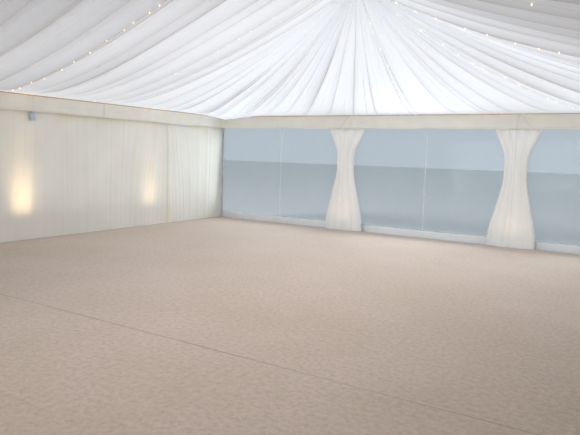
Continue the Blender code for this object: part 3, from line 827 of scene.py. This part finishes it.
def control_box(material, metal):
    """The string lights' small box: rounded, with a lid, a gland and the wire that it hangs on."""
    low, high = (Vector(corner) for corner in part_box("light_control_box"))
    centre, size = (low + high) / 2, high - low
    shell = bmesh.new()
    for part, (back, front, share) in enumerate(((0.0, 0.60, 1.0), (0.62, 0.97, 0.96))):
        made = bmesh.ops.create_cube(shell, size=1.0)["verts"]
        scale = Vector((size.x * (front - back), size.y * share * 0.94, size.z * share * 0.94))
        bmesh.ops.scale(shell, vec=scale, verts=made)
        shift = size.x * ((front + back) / 2 - 0.5)
        bmesh.ops.translate(shell, vec=Vector((shift, 0, 0)), verts=made)
    bmesh.ops.bevel(shell, geom=shell.edges[:], offset=0.0045, segments=3, profile=0.5, affect="EDGES")
    gland = bmesh.ops.create_cone(
        shell, cap_ends=True, segments=16, radius1=0.0075, radius2=0.005, depth=0.012,
    )["verts"]
    bmesh.ops.translate(shell, vec=Vector((-size.x * 0.15, 0, size.z * 0.5 + 0.002)), verts=gland)
    turn = Matrix.Rotation(math.radians(BOX_TILT), 3, "X")
    bmesh.ops.rotate(shell, cent=(0, 0, 0), matrix=turn, verts=shell.verts[:])
    bmesh.ops.translate(shell, vec=centre, verts=shell.verts[:])
    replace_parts(solid_piece("string_light_box", shell, material), "light_control_box")
    top = centre + turn @ Vector((-size.x * 0.15, 0, size.z * 0.5 + 0.004))
    over = -PELMET_IN_X + 0.012 - top.x
    bends = (
        (0.0, 0.0, 0.0), (0.0, 0.004, 0.02), (over, 0.012, 0.05), (over, -0.004, 0.10), (over, 0.008, 0.15),
        (over, -0.01, 0.225),
    )
    tube("box_wire", [top + Vector(bend) for bend in bends], BOX_WIRE_RADIUS, metal)
    screws = bmesh.new()
    for side in (-1, 1):
        made = bmesh.ops.create_cone(
            screws, cap_ends=True, segments=14, radius1=0.004, radius2=0.0034, depth=0.002,
        )["verts"]
        bmesh.ops.rotate(screws, cent=(0, 0, 0), matrix=Matrix.Rotation(math.pi / 2, 3, "Y"), verts=made)
        spot = turn @ Vector((size.x * 0.475, 0, side * size.z * 0.36))
        bmesh.ops.translate(screws, vec=centre + spot, verts=made)
    solid_piece("box_screws", screws, metal, smooth=False)


def clear_windows(material):
    """Clear panels that ripple between their welds."""
    for node in [name for name in frame["nodes"] if name.startswith("window_")]:
        low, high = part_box(node)
        sign = 1 if low[1] > 0 else -1
        weld_x = round((low[0] + high[0]) / 2 / BAY) * BAY
        place = np.linspace(low[0], high[0], 121)[None, :]
        up = np.linspace(0, 1, 28)[:, None]
        edge = np.sin(np.pi * (place - low[0]) / (high[0] - low[0])) * np.sin(np.pi * up)
        ripple = edge * wander(300 + int(low[0] * 7), place * 2.2, up * 2.0)
        off = (low[1] + high[1]) / 2 + sign * 0.004 * ripple
        height = low[2] + (high[2] - low[2]) * up
        points = np.stack(np.broadcast_arrays(place, off, height), axis=-1)
        weld = bell(place - weld_x, 0.016, 4) + 0 * up
        borders = place - low[0], high[0] - place, height - low[2], high[2] - height
        rim = np.minimum.reduce(np.broadcast_arrays(*borders))
        weld = np.clip(weld + bell(rim, 0.03), 0, 1)
        made = sheet_mesh(f"clear_{node}", points, material, "clear_pvc", weld=weld)
        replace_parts(made, node)


def carpets(material):
    """The two widths of carpet, lying almost flat, with turned edges at their joint."""
    for end, sign in ENDS:
        node = f"carpet_{end}"
        low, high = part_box(node)
        across = np.linspace(low[0], high[0], 96)[None, :]
        spacing = np.linspace(0, 1, 120) ** 2
        spacing = spacing if sign > 0 else 1 - spacing[::-1]
        along = (low[1] + (high[1] - low[1]) * spacing)[:, None]
        rise = 0.0015 * wander(400 + sign, across * 1.3, along * 1.3)
        joint_y = low[1] if sign > 0 else high[1]
        near = np.abs(along - joint_y)
        lift = 0.002 * bell(near, 0.03) * (0.6 + 0.4 * wander(410 + sign, across * 1.1))
        height = high[2] - 0.002 + np.clip(rise + lift, -0.003, 0.006)
        points = np.stack(np.broadcast_arrays(across, along, height), axis=-1)
        crease = (0.55 + 0.25 * wander(420 + sign, across * 2.0)) * bell(near, 0.006)
        made = sheet_mesh(f"carpet_width_{end}", points, material, "carpet", crease=crease)
        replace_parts(made, node)


def roof_covers(material):
    """The outer roof: four sheets drawn tight over the frame, each with its valance."""
    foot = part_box("roof_cover_left")[0][2]
    shell = 0.004
    ridge_z = COVER_TOP - shell
    eave_out = {"left": EAVE_X, "right": EAVE_X, "back": EAVE_Y, "front": EAVE_Y}
    slope_side = (ridge_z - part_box("eave_rail_left")[1][2]) / (EAVE_X - shell)
    slope_end = (ridge_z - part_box("eave_rail_back")[1][2]) / (EAVE_Y - shell - COVER_RIDGE_Y)
    run = (EAVE_Y - COVER_RIDGE_Y) / EAVE_X
    for number, side in enumerate(("left", "right", "back", "front")):
        lengthwise = side in ("left", "right")
        sign = -1 if side in ("left", "front") else 1
        down = np.linspace(0, 1, 40)[:, None]
        valance = np.linspace(0, 1, 10)[1:, None]
        start = 0.0 if lengthwise else COVER_RIDGE_Y
        distance = start + (eave_out[side] - start) * down
        slope = slope_side if lengthwise else slope_end
        height = COVER_TOP - slope * (distance - start)
        reach = COVER_RIDGE_Y + distance * run if lengthwise else (distance - COVER_RIDGE_Y) / run
        share = np.linspace(-1, 1, 241)[None, :]
        place = reach * share
        if lengthwise:
            bay = np.abs(place / BAY - np.round(place / BAY)) * BAY
            bay = np.minimum(bay, reach - np.abs(place))
        else:
            foot_place = EAVE_X * share
            bay = np.abs(np.abs(foot_place) - BAY / 2) * (0.06 + 0.94 * down)
            bay = np.minimum(bay, (EAVE_X - np.abs(foot_place)) * (0.06 + 0.94 * down))
        free = ramp(bay, 0.05, 0.9)
        hollow = 0.014 * np.sin(np.pi * down) * free
        height = height - hollow
        edge_height = height[-1:, :]
        edge = place[-1:, :]
        hem = foot + 0.004 * (1 + wander(500 + number, edge * 1.5))
        hang = edge_height - (edge_height - hem) * valance
        swing = 0.0015 * np.sin(np.pi * valance) * (1 + wander(510 + number, edge * 2.0, valance * 2))
        swing = eave_out[side] - swing
        rows_place = np.concatenate([place, np.repeat(edge, len(valance), axis=0)])
        rows_out = np.concatenate([distance + 0 * share, swing + 0 * share])
        rows_height = np.concatenate([height, hang])
        bay = np.concatenate([bay + 0 * place, np.repeat(bay[-1:, :], len(valance), axis=0)])
        if lengthwise:
            points = np.stack([sign * rows_out, rows_place, rows_height], axis=-1)
        else:
            points = np.stack([rows_place, sign * rows_out, rows_height], axis=-1)
        weld = bell(bay, 0.03, 4) * (bay < BAY)
        rim = np.concatenate([np.zeros_like(down), valance])
        seams = sum(bell(rim - seam, 0.05) for seam in VALANCE_SEAMS)
        weld = np.clip(weld + seams, 0, 1)
        made = sheet_mesh(f"cover_sheet_{side}", points, material, "cover_pvc", weld=weld)
        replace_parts(made, f"roof_cover_{side}")


def outer_walls(material):
    """The plain side walls, a little slack between the legs."""
    for number, (side, sign) in enumerate(SIDES):
        node = f"outer_wall_{side}"
        low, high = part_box(node)
        face = low[0] if sign > 0 else high[0]
        place = np.linspace(low[1], high[1], 300)[None, :]
        up = np.linspace(0, 1, 30)[:, None]
        bay = np.abs(place / BAY - np.round(place / BAY)) * BAY
        slack = ramp(bay, 0.02, 0.5) * (0.35 + 0.65 * np.sin(np.pi * up))
        ripple = 0.5 + 0.5 * wander(600 + number, place * 2.6, up * 0.9)
        off = 0.001 + 0.010 * slack * ripple
        height = low[2] + (high[2] - low[2]) * up
        points = np.stack(np.broadcast_arrays(face + sign * off, place, height), axis=-1)
        weld = bell(bay, 0.03, 4) + bell(up - 0.02, 0.015)
        made = sheet_mesh(f"side_wall_sheet_{side}", points, material, "cover_pvc", weld=np.clip(weld, 0, 1))
        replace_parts(made, node)


def dress_solids(metal, boards, cover):
    """Finishes for the solids that stay as they are: the frame, the floor and the end walls."""
    finishes = {"frame_aluminium": metal, "floor_boards": boards}
    for row in frame["record"]["subparts"]:
        finish = finishes.get(row["material_slot"])
        if row["node"] in ("back_wall", "front_wall_left", "front_wall_right"):
            finish = cover
        if finish:
            materials = frame["nodes"][row["node"]].data.materials
            materials.clear()
            materials.append(finish)


# Stage, lights and camera


def area_light(name, place, aim, size, power, colour=(1, 1, 1), spread=180):
    """A soft rectangular light that the camera doesn't see: its width is level, its height the other way."""
    data = bpy.data.lights.new(name, "AREA")
    data.shape = "RECTANGLE"
    data.size, data.size_y = size
    data.energy = power
    data.color = colour
    data.spread = math.radians(spread)
    made = bpy.data.objects.new(name, data)
    back = (Vector(place) - Vector(aim)).normalized()
    level = Vector((1, 0, 0)) if abs(back.z) > 0.99 else Vector((0, 0, 1)).cross(back).normalized()
    turn = Matrix((level, back.cross(level), back)).transposed().to_4x4()
    made.matrix_world = Matrix.Translation(place) @ turn
    made.visible_camera = False
    bpy.context.scene.collection.objects.link(made)


def stage():
    """A plain pale floor and an even sky."""
    bpy.ops.mesh.primitive_plane_add(size=160, location=(0, 0, -0.001))
    ground = bpy.context.object
    ground.name = "stage_floor"
    made = new_material("stage_floor", Roughness=0.9, Base_Color=(0.72, 0.72, 0.71, 1.0))[0]
    ground.data.materials.append(made)
    world = bpy.context.scene.world or bpy.data.worlds.new("studio")
    bpy.context.scene.world = world
    world.use_nodes = True
    backdrop = world.node_tree.nodes["Background"]
    backdrop.inputs["Color"].default_value = (0.55, 0.64, 0.72, 1.0)
    backdrop.inputs["Strength"].default_value = 0.8
    bpy.context.scene.view_settings.view_transform = "Standard"


def lights():
    """Daylight from the clear wall, light up onto the lining and down onto the floor, and a key outside."""
    cool, warm = (0.80, 0.90, 1.0), (1.0, 0.70, 0.40)
    for number, (x, width, power) in enumerate(WINDOW_LIGHTS):
        place, aim = (x, WALL_Y - 0.03, 1.05), (x, 0, 1.6)
        area_light(f"window_light_{number}", place, aim, (width, 1.45), power, cool, 160)
    area_light("light_on_end", (0.5, -4.9, 1.3), (0, 6, 1.0), (6.5, 1.6), 54, (0.80, 0.90, 1.0), 70)
    area_light("light_on_side", (3.9, 1.8, 1.2), (-4.5, 1.8, 1.1), (7.0, 1.4), 9, (1.0, 0.86, 0.62), 80)
    area_light("light_up", (-1.0, 2.6, 0.3), (-1.0, 2.6, 3), (6.6, 4.2), 29, cool, 150)
    area_light("light_down", (0.3, 0.0, 2.6), (0.3, 0.0, 0), (3.0, 8.0), 24, (1.0, 0.94, 0.97), 120)
    for number, (x, y, power, spread) in enumerate(UPLIGHTS):
        aim = (math.copysign(WALL_X, x), y, 1.0) if abs(x) > 2 else (x * 1.08, y * 1.04, 1.2)
        area_light(f"uplight_{number}", (x, y, 0.1), aim, (0.30, 0.08), power, warm, spread)
    area_light("key_outside", (-14, -16, 15), (0, 0, 1), (9, 9), 3000)


def camera():
    """The photograph's viewing angle, from inside the tent."""
    data = bpy.data.cameras.new("camera")
    data.sensor_width = SENSOR
    data.lens = FOCAL_PIXELS / PHOTO_WIDTH * SENSOR
    made = bpy.data.objects.new("camera", data)
    turn = Matrix.Rotation(math.radians(CAMERA_YAW), 4, "Z")
    tilt = Matrix.Rotation(math.radians(90 - CAMERA_PITCH), 4, "X")
    roll = Matrix.Rotation(math.radians(CAMERA_ROLL), 4, "Z")
    made.matrix_world = Matrix.Translation(CAMERA_PLACE) @ turn @ tilt @ roll
    bpy.context.scene.collection.objects.link(made)
    bpy.context.scene.camera = made


def main():
    camera()
    stage()
    lights()
    lining = lining_voile()
    ivory = cloth("ivory_cloth", (0.80, 0.775, 0.71), (0.68, 0.56, 0.28), 600.0, 0.85, 0.4, (1.6, 0.94))
    white = cloth("drape_cloth", (0.86, 0.85, 0.82), (0.66, 0.58, 0.44), 600.0, 0.6)
    band = cloth("pelmet_cloth", (0.78, 0.745, 0.665), (0.50, 0.38, 0.24), 500.0, 0.75, 0.9, (4.0, 0.95))
    cord = cloth("edging_cloth", (0.56, 0.36, 0.17), (0.35, 0.2, 0.1), 900.0)
    pvc = coated_cloth()
    plastic = moulded_plastic()
    metal = extrusion()
    wire = wire_sleeve()
    roof_linings(lining)
    string_lights(wire, lamp_glass())
    pelmets(band, cord)
    control_box(plastic, metal)
    curtains(ivory)
    leg_drapes(white)
    clear_windows(clear_sheet())
    carpets(carpet_pile())
    roof_covers(pvc)
    outer_walls(pvc)
    dress_solids(metal, floor_boards(), pvc)


main()
